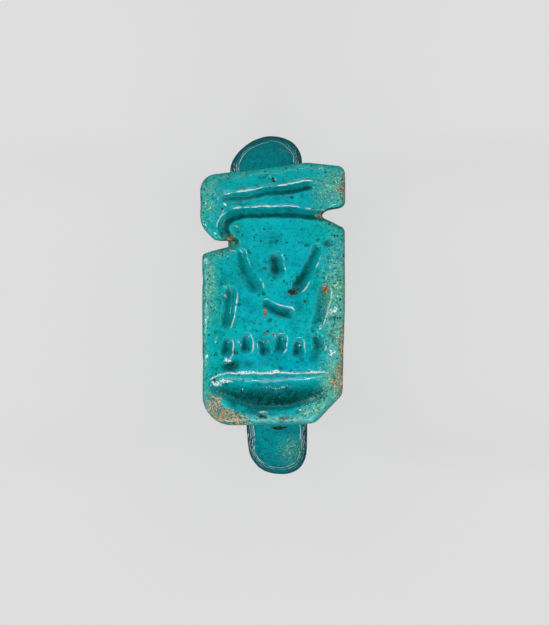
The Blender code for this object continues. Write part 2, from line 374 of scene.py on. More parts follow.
@dataclass(frozen=True)
class Stroke:
    """A line pressed into the face.

    Shares of its half width say how far its bed and its pool lie off its middle line, and how far the
    pool reaches on the upper side (halo) and on the lower one (shade_spill). The pool is partly the darker
    glaze that gathered in the stroke and partly painted shade: it leans to the shaded wall (pool_shade_lean)
    and reaches below the stroke. The gleam is a painted highlight line on the upper lip.
    """

    route: tuple[Point, ...]
    half_width: float
    depth: float
    first_width: Optional[float] = None
    first_depth: Optional[float] = None
    pointed: bool = False
    floor_power: float = 1.4
    wall_power: float = 1.2
    lean: float = 0.25
    pool: float = 0.78
    # The pool leans to the stroke's shaded wall and reaches below it: painted shade over the darker glaze.
    pool_shade_lean: float = -0.35
    halo: float = 1.2
    shade_spill: float = 1.2
    gleam: float = 0.8
    frost_and_glint: float = 0.0
    pieces: int = 8
    bluntness: float = 1e-3

    def curve(self) -> Array:
        """The points of the smooth curve through the stroke's route.

        Returns:
            One row of x and y for each point.
        """
        points = [Vector(point) for point in self.route]
        if len(points) == 2:
            return np.array(points)
        ends = [2 * points[0] - points[1], *points, 2 * points[-1] - points[-2]]
        curve = []
        for a, b, c, d in zip(ends, ends[1:], ends[2:], ends[3:]):
            for t in np.arange(self.pieces) / self.pieces:
                slope, bend = (c - a) / 2, a - 2.5 * b + 2 * c - d / 2
                curve.append(b + slope * t + bend * t**2 + (1.5 * (b - c) + (d - a) / 2) * t**3)
        return np.array([*curve, points[-1]])

    def reach(self, x: Array, y: Array) -> tuple[Array, Array, Array]:
        """How each point lies to the stroke.

        Args:
            x: places across the tablet.
            y: places along the tablet.

        Returns:
            The distance from the stroke's middle line as a share of its half width there, the part of it
            that lies to the left of the stroke's way, and the depth of the middle line there.
        """
        route = self.curve()
        lengths = np.hypot(*np.diff(route, axis=0).T)
        first_depth = self.first_depth or self.depth
        first_width = self.first_width or self.half_width
        nearest, left, deep = np.full(x.shape, np.inf), np.zeros(x.shape), np.zeros(x.shape)
        done = 0.0
        for start, end, length in zip(route[:-1], route[1:], lengths):
            run = (end - start) / length
            along = np.clip((x - start[0]) * run[0] + (y - start[1]) * run[1], 0, length)
            off = np.hypot(x - start[0] - along * run[0], y - start[1] - along * run[1])
            part = (done + along) / lengths.sum()
            spread = np.sqrt(np.maximum(1 - (2 * part - 1) ** 2, self.bluntness)) if self.pointed else 1
            width = (first_width + (self.half_width - first_width) * part) * spread
            nearer = off / width < nearest
            aside = ((y - start[1]) * run[0] - (x - start[0]) * run[1]) / width
            left = np.where(nearer, aside, left)
            deep = np.where(nearer, (first_depth + (self.depth - first_depth) * part) * spread, deep)
            nearest = np.minimum(nearest, off / width)
            done += length
        return nearest, left, deep

    @staticmethod
    def leaning(off: Array, left: Array, lean: float) -> Array:
        """The same distances, from a line that lies to the left of the middle line.

        Args:
            off: the distances from the middle line.
            left: the part of each that lies to the left.
            lean: how far to the left the new line lies, as a share of the half width.

        Returns:
            One distance for each point, still 1 at the stroke's edge.
        """
        side = left - lean
        side = np.where(side > 0, side / (1 - lean), -side / (1 + lean))
        return np.hypot(side, np.sqrt(np.maximum(off**2 - left**2, 0)))


CAP_GROOVE = Stroke(
    ((-3.10, 6.84), (-0.90, 7.08), (2.25, 7.60)),
    half_width=0.34,
    depth=0.34,
    first_width=0.34,
    first_depth=0.22,
    lean=0.1,
    pool=1.15,
    pool_shade_lean=-0.5,
    halo=1.0,
    gleam=1.0,
)
CAP_SEAM = Stroke(
    ((-2.50, 3.92), (-3.06, 4.50), (-3.20, 5.10), (-2.80, 5.58), (-2.00, 5.80), (0.60, 5.92), (3.00, 5.68)),
    half_width=0.40,
    depth=0.42,
    lean=0.0,
    pool=0.92,
    pool_shade_lean=-0.62,
    halo=1.0,
)
TOP_ROW = (
    Stroke(((-2.05, 3.22), (-1.74, 2.10), (-1.12, 1.12)), 0.50, 0.50, 0.36, 0.36, pool=0.52),
    Stroke(((0.12, 2.95), (0.22, 2.20)), 0.52, 0.50, 0.48, 0.46),
    Stroke(((2.72, 3.55), (2.26, 2.40), (1.62, 1.28)), 0.48, 0.48, 0.36, 0.34),
)
MIDDLE_ROW = (
    Stroke(((-2.80, 0.76), (-2.86, -0.30), (-3.02, -1.16)), 0.38, 0.40, 0.46, 0.44, pool=0.62),
    Stroke(((-0.50, 0.06), (0.20, -0.38), (0.92, -0.56)), 0.46, 0.46, 0.36, 0.38),
    Stroke(((3.22, 0.90), (3.02, -0.20), (2.78, -1.16)), 0.40, 0.40, 0.46, 0.44, pool=0.5),
)
# The trough's dark reaches far below it as painted shade, and its upper lip has painted highlight lines.
TROUGH = Stroke(
    ((-3.95, -4.96), (-2.00, -5.42), (0.00, -5.56), (2.00, -5.36), (3.80, -4.76)),
    half_width=1.20,
    depth=0.62,
    pointed=True,
    floor_power=6.0,
    wall_power=1.3,
    lean=0.0,
    pool=0.68,
    pool_shade_lean=-0.5,
    halo=1.1,
    shade_spill=1.8,
    gleam=1.0,
    frost_and_glint=1.0,
)


@dataclass
class Imprint:
    """What the strokes did to each point of the face, one value for each point.

    The depth is how deep it is pressed, the lip is how high the paste swells beside a stroke, and the pool
    is how dark it is painted there: darker glaze where it gathered, with painted shade on the shaded wall.
    The gleam is a painted highlight line on a stroke's upper lip, the frost_and_glint beside it is partly
    white encrustation and partly painted highlight, and matt is how much the wall below it has lost its
    gloss.
    """

    depth: Array
    lip: Array
    pool: Array
    gleam: Array
    frost_and_glint: Array
    matt: Array


@dataclass
class Carving:
    """Everything that is pressed into the face: the cap's two lines, and rows of plain strokes."""

    short_columns: tuple[float, ...] = (-2.95, -1.74, -0.64, 0.46, 1.56, 2.80)
    short_middle: float = -2.55
    short_length: float = 0.52
    short_stagger: float = 0.13
    short_lean: float = 0.05
    short_size: Pair = (0.44, 0.38)
    lip_place: float = 1.02
    lip_width: float = 0.34
    lip_height: float = 0.045
    lip_end: float = 0.05
    foot_lip: float = 0.2
    foot_lip_start: float = -5.1
    foot_lip_end: float = -4.8
    spill_edge: float = 0.1
    upper_side: Pair = (0.35, 0.85)
    # The gleam is a painted highlight line along the upper lips; the band beside it is partly white
    # encrustation and partly painted highlight.
    gleam_width: float = 0.055
    frost_spread: float = 2.5
    frost_aside: float = 0.3
    matt_place: float = 0.70
    matt_width: float = 0.16
    wander: float = 0.09
    shiver: float = 0.045
    wander_drifts: tuple[Drift, ...] = (Drift(1.1, 5.0), Drift(1.1, 9.0))
    shiver_drifts: tuple[Drift, ...] = (Drift(0.35, 5.0), Drift(0.35, 9.0))

    def short_row(self) -> list[Stroke]:
        """The row of short upright strokes, alternately a little lower and higher.

        Returns:
            One stroke for each column.
        """
        row = []
        first, last = self.short_size
        for i, column in enumerate(self.short_columns):
            middle = self.short_middle + self.short_stagger * (-1) ** (i + 1)
            top, bottom = middle + self.short_length / 2, middle - self.short_length / 2
            lean = self.short_lean * (i % 3 - 1)
            row.append(Stroke(((column - lean, top), (column + lean, bottom)), first, first, last, last))
        return row

    def strokes(self) -> list[Stroke]:
        """Every stroke of the face."""
        return [CAP_GROOVE, CAP_SEAM, *TOP_ROW, *MIDDLE_ROW, *self.short_row(), TROUGH]

    def unsteady(self, x: Array, y: Array) -> tuple[Array, Array]:
        """The same places, moved a little as an unsteady hand would.

        Args:
            x: places across the tablet.
            y: places along the tablet.

        Returns:
            The moved places, across and along.
        """
        flat = np.stack([x, y, np.zeros(x.shape)], axis=1)
        wanders = [self.wander * drift.values(flat) for drift in self.wander_drifts]
        shivers = [self.shiver * drift.values(flat) for drift in self.shiver_drifts]
        return x + wanders[0] + shivers[0], y + wanders[1] + shivers[1]

    def imprint(self, stroke: Stroke, x: Array, y: Array) -> Imprint:
        """What one stroke does to each point.

        Args:
            stroke: the stroke.
            x: places across the tablet.
            y: places along the tablet.

        Returns:
            The stroke's own imprint.
        """
        off, left, deep = stroke.reach(x, y)
        bed = np.clip(stroke.leaning(off, left, stroke.lean), 0, 1)
        # The pool's dark leans to the stroke's shaded wall and reaches below it: painted shade over the
        # darker glaze.
        below = ramp(stroke.pool_shade_lean - left, -self.spill_edge, self.spill_edge)
        pooled = stroke.leaning(off, left, stroke.pool_shade_lean)
        pooled = np.clip(pooled / (stroke.halo + (stroke.shade_spill - stroke.halo) * below), 0, 1)
        swell = self.lip_height * deep / stroke.depth
        if stroke.pointed:
            swell = swell * np.maximum(ramp(y, self.foot_lip_start, self.foot_lip_end), self.foot_lip)
        upper = ramp(left, *self.upper_side)
        away = (off - self.lip_place) * stroke.half_width / self.gleam_width
        return Imprint(
            depth=deep * (1 - bed**stroke.floor_power) ** stroke.wall_power,
            lip=swell * bell(off, self.lip_place, self.lip_width),
            pool=stroke.pool * deep * (1 - pooled**2) ** 3,
            # Painted highlight line on the upper lip, and beside it a band that is partly white encrustation
            # and partly painted highlight.
            gleam=stroke.gleam * bell(away, 0, 1) * upper,
            frost_and_glint=stroke.frost_and_glint * bell(away / self.frost_spread, self.frost_aside, 1) * upper,
            matt=stroke.frost_and_glint * bell(left, self.matt_place, self.matt_width) * (off < 1),
        )

    def press(self, x: Array, y: Array) -> Imprint:
        """What all strokes do to each point, each value from the stroke that does the most.

        Args:
            x: places across the tablet.
            y: places along the tablet.

        Returns:
            The whole imprint, in which no lip swells inside another stroke.
        """
        x, y = self.unsteady(x, y)
        made = [vars(self.imprint(stroke, x, y)) for stroke in self.strokes()]
        whole = Imprint(**{name: np.max([each[name] for each in made], axis=0) for name in made[0]})
        whole.lip *= 1 - ramp(whole.depth, 0, self.lip_end)
        return whole


class Wear(Enum):
    """What time and the kiln did to the glaze, with the name of the attribute that holds each. CRUST is
    partly white encrustation and partly painted glints; HOLLOW is partly dents and darker tone and partly
    painted shade, and goes into the pool share instead of an attribute of its own.
    """

    THIN = "thin"
    SOIL = "soil"
    CHIP = "chip"
    PIT = "pit"
    CRUST = "crust"
    DULL = "dull"
    HOLLOW = "hollow"


@dataclass(frozen=True)
class Patch:
    """An oval zone on the face, seen in plan: wear, painted shade or painted glints."""

    x: float
    y: float
    across: float
    along: float
    turn: float = 0.0
    strength: float = 1.0
    fade: float = 1.0
    depth: float = 0.0

    def cover(self, x: Array, y: Array) -> Array:
        """How much of the wear reaches each point.

        Args:
            x: places across the tablet.
            y: places along the tablet.

        Returns:
            The patch's strength in its middle, falling to 0 at its rim.
        """
        cosine, sine = math.cos(math.radians(self.turn)), math.sin(math.radians(self.turn))
        u = ((x - self.x) * cosine + (y - self.y) * sine) / self.across
        v = ((y - self.y) * cosine - (x - self.x) * sine) / self.along
        return self.strength * ramp(1 - np.hypot(u, v), 0, self.fade)


def alike(fade: float, depth: float, *rows: tuple[float, ...]) -> tuple[Patch, ...]:
    """Patches that fade and sink alike.

    Args:
        fade: the share of its radius over which each patch fades.
        depth: how deep each is sunk, below zero where it stands up.
        rows: x, y, across and along of each patch, and where it needs them its turn and strength.

    Returns:
        One patch for each row.
    """
    return tuple(Patch(*row, fade=fade, depth=depth) for row in rows)


FACE_PATCHES: dict[Wear, tuple[Patch, ...]] = {
    Wear.THIN: (
        Patch(-4.1, 1.3, 0.75, 3.6, 0, 0.75),
        Patch(-4.1, 6.9, 1.0, 2.2, 0, 0.7),
        Patch(4.1, 7.4, 2.2, 1.9, 8),
        Patch(4.0, 0.5, 1.35, 6.2, -3),
        Patch(3.7, -4.6, 1.2, 2.4),
        Patch(2.7, -6.4, 2.1, 0.9, 35),
        Patch(0.6, -7.3, 3.0, 0.50, 0, 0.5),
        Patch(1.20, -9.40, 1.3, 1.4, -20, 0.65),
        Patch(0.90, 10.10, 1.0, 0.5, 0, 0.3),
        Patch(4.3, 7.2, 1.0, 1.8, 0, 0.9),
        Patch(-3.4, 3.3, 1.0, 0.5, 12, 0.7),
    ),
    Wear.SOIL: (
        Patch(-3.72, -6.40, 0.75, 1.15, 28, 0.65),
        Patch(-2.9, -7.15, 2.0, 0.8, -14),
        Patch(-1.55, -9.0, 0.25, 1.3, 20, 0.15),
        Patch(4.40, -2.5, 0.50, 2.0, 2, 0.65),
        Patch(4.30, -4.6, 0.95, 1.9, -8, 0.8),
        Patch(4.45, 7.6, 0.50, 1.4, 0, 0.45),
        Patch(-2.85, 4.15, 0.6, 0.4, 50, 0.8),
        Patch(3.0, 5.75, 0.45, 0.35, 0, 0.7),
    ),
    Wear.CHIP: (
        Patch(3.27, 1.02, 0.37, 0.52, -14, fade=0.9, depth=0.05),
        Patch(-0.56, -0.46, 0.20, 0.36, fade=0.8, depth=0.04),
        *alike(
            0.7,
            0.0,
            (-0.40, -1.88, 0.08, 0.20, 30),
            (0.02, -1.93, 0.11, 0.26, 48),
            (0.34, -1.86, 0.07, 0.19, -50),
            (0.66, -1.76, 0.05, 0.13, -60),
            (-0.44, -2.32, 0.09, 0.10),
            (-0.82, -10.1, 0.14, 0.07, -35),
        ),
    ),
    Wear.PIT: (
        Patch(1.20, 0.84, 0.52, 0.36, -12, 0.95, fade=0.9, depth=0.14),
        Patch(-0.05, 8.00, 0.15, 0.26, 35, fade=0.7, depth=0.10),
        Patch(-2.62, 4.06, 0.16, 0.16, 40, 0.6, fade=0.8, depth=0.03),
        # Dark along the tablet's join with the hoop: partly dirt in the crevice, partly painted shade.
        Patch(0.40, -7.85, 1.2, 0.22),
        *alike(0.6, 0.09, (-0.60, 4.83, 0.10, 0.10), (2.25, -4.25, 0.12, 0.10)),
        *alike(0.6, 0.06, (1.74, -2.70, 0.08, 0.08), (2.03, 0.24, 0.09, 0.10), (-3.78, -4.78, 0.14, 0.10)),
        *alike(0.6, 0.05, (0.18, -3.41, 0.08, 0.08)),
        *alike(
            1.0,
            0.05,
            (-0.74, -7.12, 0.95, 0.30, -16, 0.55),
            (0.60, -7.22, 0.75, 0.28, 8, 0.6),
            (-2.62, -3.74, 0.34, 0.22, 20, 0.5),
        ),
    ),
    # Partly white encrustation and flakes, partly painted glints and highlight dashes on ridges and bumps.
    Wear.CRUST: (
        Patch(-2.90, -3.50, 0.66, 0.40, 24, 0.62, depth=-0.05),
        Patch(3.80, -0.35, 0.56, 0.28, 30, 0.8, fade=0.9, depth=-0.05),
        Patch(3.72, -3.05, 0.40, 0.46, 0, 0.8, fade=0.9, depth=-0.05),
        Patch(3.05, -1.40, 0.28, 0.22, 0, 0.75, fade=0.8, depth=-0.04),
        Patch(-3.05, -4.86, 0.80, 0.20, -4, 0.75, fade=0.8),
        Patch(-0.60, -6.86, 1.0, 0.10, -8, 0.45, fade=0.8),
        Patch(-4.33, -1.40, 0.09, 3.6, 0, 0.5),
        Patch(0.20, -5.25, 2.8, 0.26, 1, 0.45),
        *alike(
            0.8,
            -0.02,
            (-3.70, -4.95, 0.60, 0.24, -12, 0.9),
            (-0.20, 8.17, 0.10, 0.22, 40, 0.7),
            (1.70, -2.62, 0.18, 0.14, 0, 0.6),
            (2.25, -4.12, 0.18, 0.10, 0, 0.5),
        ),
        *alike(
            0.8,
            -0.03,
            (-3.66, -2.20, 0.10, 0.46, -5, 0.7),
            (-2.12, -2.45, 0.10, 0.46, 38, 0.8),
            (-4.05, 6.20, 0.24, 0.12, 12, 0.8),
            (-4.28, 6.50, 0.11, 0.28, 20, 0.8),
            (-3.12, 6.42, 0.10, 0.24, 32, 0.8),
            (-3.25, 5.90, 0.10, 0.30, -20, 0.7),
            (-3.10, 1.10, 0.28, 0.13, -14, 0.8),
            (-2.40, 4.95, 0.10, 0.36, 42, 0.7),
        ),
        *alike(
            1.0,
            -0.03,
            (2.45, -6.65, 0.42, 0.20, 35, 0.65),
            (3.25, -6.30, 0.10, 0.50, -24, 0.6),
            (4.12, -1.75, 0.10, 0.60, -8, 0.6),
        ),
    ),
    # Darker patches: partly a dent and darker tone, partly painted shade around raised spots and below the
    # trough.
    Wear.HOLLOW: (
        Patch(-2.72, -3.92, 1.10, 0.65, 10, depth=0.05),
        Patch(-1.65, -3.75, 0.80, 0.55, 0, 0.6),
        Patch(-1.00, -6.80, 1.9, 0.45, -4, 0.8),
        Patch(-2.60, -6.25, 1.0, 0.40, -38, 0.7),
        Patch(3.42, 3.86, 0.55, 0.45, 20, 0.8),
        Patch(2.60, -3.20, 0.6, 0.8, -8, 0.6),
        Patch(-3.45, 0.30, 0.5, 0.9, 0, 0.4),
    ),
    Wear.DULL: (
        Patch(0.0, -7.4, 5.0, 0.6, 0, 0.7, fade=0.5),
        Patch(3.5, -6.6, 1.9, 0.9, 45, fade=0.5),
        Patch(-3.9, -6.6, 1.2, 1.6, 28, fade=0.6),
        Patch(4.3, -4.0, 1.1, 4.0, fade=0.5),
        Patch(4.2, 7.4, 1.8, 1.8, 0, 0.7),
    ),
}


@dataclass
class Weathering:
    """The patches, chips and burst bubbles of the face."""

    bubbles: int = 260
    bubble_radii: Pair = (0.05, 0.12)
    bubble_ovals: Pair = (0.8, 1.3)
    bubble_fade: float = 0.8
    bubble_depth: float = 0.05
    bubble_tone: float = 0.6
    bubble_margin: float = 0.1
    rim_share: float = 0.75
    rim_reach: float = 0.9
    ragged: float = 0.10
    fine_share: float = 0.6
    ragged_drifts: tuple[Drift, ...] = (Drift(0.45, 21.0), Drift(0.45, 27.0))
    fine_drifts: tuple[Drift, ...] = (Drift(0.17, 23.0), Drift(0.17, 29.0))

    def burst(self, tablet: Tablet) -> list[Patch]:
        """The small bubbles that burst in the kiln, more of them near the rim.

        Args:
            tablet: the plate that they lie on.

        Returns:
            One small, nearly round patch for each bubble.
        """
        draw = np.random.default_rng(SEED)
        (left, foot), (right, head) = tablet.outline.min(axis=0), tablet.outline.max(axis=0)
        found: list[Patch] = []
        while len(found) < self.bubbles:
            x, y = draw.uniform(left, right), draw.uniform(foot, head)
            inside = -tablet.rim_distance(np.array([x]), np.array([y]))[0]
            chance = 1 - self.rim_share + self.rim_share * math.exp(-inside / self.rim_reach)
            if inside < self.bubble_margin or draw.random() > chance:
                continue
            radius = self.bubble_radii[0] + np.ptp(self.bubble_radii) * draw.random() ** 2
            along = radius * draw.uniform(*self.bubble_ovals)
            found.append(Patch(x, y, radius, along, fade=self.bubble_fade))
        return found

    def marks(self, points: Array, tablet: Tablet) -> tuple[dict[Wear, Array], Array]:
        """Where the face is worn, encrusted or painted with shade and glints, and how deep.

        Args:
            points: places on the face.
            tablet: the plate that they lie on.

        Returns:
            One share from 0 to 1 for each kind of wear, and the depth that is lost.
        """
        x, y = (
            points[:, axis] + self.ragged * (wide.values(points) + self.fine_share * fine.values(points))
            for axis, (wide, fine) in enumerate(zip(self.ragged_drifts, self.fine_drifts))
        )
        depth = np.zeros(len(points))
        shares = {}
        for kind, patches in FACE_PATCHES.items():
            covers = [patch.cover(x, y) for patch in patches]
            depth += sum(patch.depth * cover for patch, cover in zip(patches, covers))
            shares[kind] = np.max(covers, axis=0)
        for patch in self.burst(tablet):
            cover = patch.cover(points[:, 0], points[:, 1])
            depth += self.bubble_depth * cover * patch.across / self.bubble_radii[1]
            shares[Wear.PIT] = np.maximum(shares[Wear.PIT], self.bubble_tone * cover)
        return shares, depth


@dataclass(frozen=True)
class Zones:
    """Where the points of the skin lie on the ring, one row or value for each point.

    The slope is the way straight out of the surface, the height is above the middle of the plate, and
    inside is how far the point lies inside the tablet's outline in plan. The others are shares: facing is
    1 on the tablet's face, bare is 1 below the tablet, shown is 1 high on the ring, and aside is 1 far to
    the left or right.
    """

    points: Array
    slope: Array
    height: Array
    inside: Array
    facing: Array
    bare: Array
    shown: Array
    aside: Array


@dataclass
class Handwork:
    """How the paste departs from its true form: shaped by hand, rippled, and rubbed at the tablet's rim."""

    hand: float = 0.04
    ripple: float = 0.06
    peel: float = 0.005
    rim_wear: float = 0.10
    nibble_share: float = 0.5
    hoop_share: float = 0.5
    rim_start: float = -0.1
    rim_end: float = 0.7
    hand_drift: Drift = Drift(2.6, 3.0)
    ripple_drift: Drift = Drift(0.9, 13.0)
    peel_drift: Drift = Drift(0.28, 17.0)
    rubbed_drift: Drift = Drift(1.3, 51.0, 0.0, 0.7)
    nibbled_drift: Drift = Drift(0.45, 53.0, 0.1, 0.7)

    def inward(self, zones: Zones) -> Array:
        """How far each point lies inside the true form.

        Args:
            zones: where the points lie on the ring.

        Returns:
            One distance for each point.
        """
        points, off_face = zones.points, self.hoop_share * zones.bare
        lost = self.hand * (1 + self.hand_drift.values(points)) / 2
        lost += self.ripple * (0.5 + self.ripple_drift.values(points))
        lost += self.peel * self.peel_drift.values(points)
        lost *= np.maximum(ramp(zones.inside, self.rim_start, self.rim_end), off_face)
        rubbed = self.rubbed_drift.share(points) + self.nibble_share * self.nibbled_drift.share(points)
        near_rim = (1 - ramp(zones.inside, 0, self.rim_end)) * (1 - zones.bare)
        return lost + self.rim_wear * rubbed * near_rim


@dataclass
class GlazeCover:
    """How the glaze lies on the skin, with its painted shade and highlights, as values from 0 to 1 that the
    material reads.
    """

    gleam_drifts: tuple[Drift, ...] = (Drift(0.3, 31.0, -0.7, 0.0), Drift(1.3, 33.0, -0.5, 0.0))
    pool_depth: float = 0.42
    # Painted shade along the tablet's rim.
    rim_shade_reach: float = 0.16
    rim_shade_share: float = 0.45
    rim_shade_drift: Drift = Drift(1.1, 57.0, -0.6, 0.3)
    thin_rim: float = 0.55
    thin_share: float = 0.35
    thin_middle: float = 0.3
    green_rim: float = 3.0
    green_middle: float = 0.5
    green_hoop: float = 0.4
    frost_share: float = 0.85
    frost_least: float = 0.4
    frost_drift: Drift = Drift(0.7, 37.0, -0.5, 0.3)
    matt_drift: Drift = Drift(0.5, 35.0, -0.6, -0.1)
    # Where the hoop's painted highlight lines show, and how far out the painted shade on its shoulders begins
    # and ends.
    upward: float = 0.15
    shoulder: Pair = (0.78, 0.95)
    wear_reach: float = 0.3

    def broken(self, gleam: Array, points: Array) -> Array:
        """The painted highlight lines of the lips, with gaps in them."""
        return gleam * np.prod([drift.share(points) for drift in self.gleam_drifts], axis=0)

    def pooled(self, pool: Array, hollow: Array, zones: Zones) -> Array:
        """How dark each point is painted: darker glaze in the strokes with painted shade on their shaded
        walls, and painted shade and darker tone in the hollows and along the rim.

        Args:
            pool: how deep the glaze gathered in the strokes.
            hollow: how much each point lies in a dent, a darker patch or painted shade.
            zones: where the points lie on the ring.

        Returns:
            One share for each point.
        """
        # Painted shade along the rim, where the tablet's sides turn away from the light.
        edge = 1 - np.abs(zones.inside) / self.rim_shade_reach
        edge *= self.rim_shade_share * self.rim_shade_drift.share(zones.points)
        return np.maximum(pool / self.pool_depth, np.maximum(hollow, edge)) * zones.facing

    def worn(self, wear: dict[Wear, Array], pressed: Imprint, zones: Zones) -> dict[Wear, Array]:
        """The wear, encrustation and painted glints of the patches, with what the rim and the lips add to it.

        Args:
            wear: one share for each kind of wear.
            pressed: what the strokes did to the face.
            zones: where the points lie on the ring.

        Returns:
            One share for each kind of wear, faded where the ring isn't seen from above.
        """
        near_rim = 1 - np.abs(zones.inside) / self.thin_rim
        aside = self.thin_middle + (1 - self.thin_middle) * zones.aside
        frosted = self.frost_least + (1 - self.frost_least) * self.frost_drift.share(zones.points)
        added = {
            Wear.THIN: self.thin_share * near_rim * aside * (1 - zones.bare),
            # Partly white encrustation, partly painted highlight beside the upper lips.
            Wear.CRUST: self.frost_share * pressed.frost_and_glint * frosted,
            Wear.DULL: pressed.matt * self.matt_drift.share(zones.points),
        }
        seen = np.maximum(1 - 2 * zones.bare, ramp(-zones.inside, 0, self.wear_reach) * zones.shown)
        return {kind: np.maximum(values, added.get(kind, 0)) * seen for kind, values in wear.items()}

    def hoop_shares(self, flow: Array, zones: Zones) -> dict[str, Array]:
        """The values that colour the hoop, and the green of the tablet's sides, with the painted shade of the
        hoop's outer shoulders and where its painted highlight lines lie.

        Args:
            flow: how far out each point lies on the hoop's shoulders.
            zones: where the points lie on the ring.

        Returns:
            One share for each value's name.
        """
        sided = self.green_middle + (1 - self.green_middle) * zones.aside
        green = np.where(zones.height > 0, (1 - zones.inside / self.green_rim) * sided, self.green_hoop)
        seen = zones.bare * zones.shown
        return {
            "green": green,
            "deep": zones.bare,
            "flow": flow,
            "flowing": seen * ramp(zones.slope[:, 2], 0, self.upward),
            "shoulder": seen * ramp(flow, *self.shoulder),
        }


@dataclass
class SealRing:
    """The whole ring as one skin: tablet and hoop with the luting between them."""

    name: str = "glazed_ring"
    cad_node: str = "seal_ring"
    slot: str = "turquoise_glaze"
    tablet: Tablet = field(default_factory=Tablet)
    hoop: Hoop = field(default_factory=Hoop)
    carving: Carving = field(default_factory=Carving)
    weathering: Weathering = field(default_factory=Weathering)
    handwork: Handwork = field(default_factory=Handwork)
    cover: GlazeCover = field(default_factory=GlazeCover)
    luting: float = 1.0
    probe: float = 1e-3
    voxel: float = 0.175
    even_rounds: int = 3
    face_cuts: int = 2
    face_share: float = 0.4
    face_slope: float = 0.2
    facing_share: float = 0.25
    shown_reach: float = 5.0
    aside_reach: Pair = (0.8, 3.0)
    gleam_height: float = 0.02
    flat_reach: float = 1e-4

    def distance(self, points: Array) -> Array:
        """Distance from each point to the ring's surface, before anything is pressed into it.

        Args:
            points: places in the ring's space.

        Returns:
            One distance for each point, below zero inside the ring.
        """
        plate, hoop = self.tablet.distance(points), self.hoop.distance(points)
        part = np.clip(0.5 + 0.5 * (hoop - plate) / self.luting, 0, 1)
        return hoop * (1 - part) + plate * part - self.luting * part * (1 - part)

    def slope(self, points: Array) -> Array:
        """The direction in which the distance grows fastest at each point, about 1 long."""
        rises = [self.distance(points + way) - self.distance(points - way) for way in self.probe * np.eye(3)]
        return np.stack(rises, axis=1) / (2 * self.probe)

    def settled(self, points: Array, rounds: int) -> Array:
        """Points moved along the shortest way onto the ring's surface.

        Args:
            points: places near the surface.
            rounds: how often the move is repeated.

        Returns:
            The places on the surface.
        """
        for _ in range(rounds):
            slope = self.slope(points)
            steepness = np.maximum((slope**2).sum(axis=1), TINY)
            points = points - slope * (self.distance(points) / steepness)[:, None]
        return points

    def fused(self) -> Object:
        """Plate and hoop as one skin of even quads.

        Returns:
            The new object, with its modifiers applied.
        """
        plate = as_object(self.name, self.tablet.block())
        hoop = as_object("hoop_blank", self.hoop.blank())
        union = plate.modifiers.new("luted", "BOOLEAN")
        union.operation = "UNION"
        union.object = hoop
        even = plate.modifiers.new("even", "REMESH")
        even.mode = "VOXEL"
        even.voxel_size = self.voxel
        bpy.context.view_layer.update()
        evaluated = plate.evaluated_get(bpy.context.evaluated_depsgraph_get())
        skin = bpy.data.meshes.new_from_object(evaluated)
        plate.modifiers.clear()
        plate.data = skin
        bpy.data.objects.remove(hoop)
        return plate

    def refine_face(self, ring: Object) -> None:
        """Divides the quads of the tablet's face, and cuts the small flat at the back.

        Args:
            ring: the ring, whose mesh is changed.
        """
        mesh = bmesh.new()
        mesh.from_mesh(ring.data)
        edges = set()
        for face in mesh.faces:
            middle = face.calc_center_median()
            above = middle.z + self.tablet.face_drop(middle.y) - self.tablet.face_height
            if above > -self.face_share * self.tablet.thickness and face.normal.z > self.face_slope:
                edges.update(face.edges)
        bmesh.ops.subdivide_edges(mesh, edges=list(edges), cuts=self.face_cuts, use_grid_fill=True)
        cut = bmesh.ops.bisect_plane(
            mesh,
            geom=mesh.verts[:] + mesh.edges[:] + mesh.faces[:],
            plane_co=(0, 0, 0),
            plane_no=(0, 0, 1),
            dist=SNAP,
            clear_inner=True,
        )
        rim = [item for item in cut["geom_cut"] if isinstance(item, bmesh.types.BMEdge)]
        flat = bmesh.ops.contextual_create(mesh, geom=rim)["faces"]
        bmesh.ops.triangulate(mesh, faces=flat)
        mesh.to_mesh(ring.data)
        mesh.free()

    def skin(self) -> Object:
        """The ring's even skin on its true surface, finer on the face and cut flat at the back.

        Returns:
            The ring's object, in millimetres.
        """
        ring = self.fused()
        points = places(ring.data)
        for _ in range(self.even_rounds):
            points = evened(self.settled(points, rounds=2), ring.data)
        place(ring.data, self.settled(points, rounds=1))
        self.refine_face(ring)
        return ring

    def zones(self, points: Array) -> Zones:
        """Where these points lie on the ring.

        Args:
            points: places on the skin.

        Returns:
            The points with their zones.
        """
        slope = self.slope(points)
        height = self.tablet.height(points)
        return Zones(
            points=points,
            slope=slope / np.maximum(np.linalg.norm(slope, axis=1), TINY)[:, None],
            height=height,
            inside=-self.tablet.rim_distance(points[:, 0], points[:, 1]),
            facing=np.clip(height / (self.facing_share * self.tablet.thickness), 0, 1),
            bare=ramp(-height, 0, self.tablet.thickness),
            shown=ramp(points[:, 2] - self.hoop.middle, 0, self.shown_reach),
            aside=ramp(np.abs(points[:, 0]), *self.aside_reach),
        )

    def build(self) -> Object:
        """Makes the ring's mesh, with the values that its material reads.

        Returns:
            The ring's object, in metres, at rest on its flat.
        """
        ring = self.skin()
        points = places(ring.data)
        on_flat = points[:, 2] < self.flat_reach
        zones = self.zones(np.where(on_flat[:, None], points, self.settled(points, rounds=2)))
        pressed = self.carving.press(zones.points[:, 0], zones.points[:, 1])
        gleam = self.cover.broken(pressed.gleam, zones.points)
        wear, lost = self.weathering.marks(zones.points, self.tablet)

        inward = np.where(on_flat, 0, self.handwork.inward(zones))
        moved = zones.points - zones.slope * inward[:, None]
        sunk = pressed.depth - pressed.lip - self.gleam_height * gleam + lost
        moved[:, 2] -= sunk * zones.facing
        moved[:, 2] = np.maximum(moved[:, 2], 0)
        place(ring.data, moved * MM)

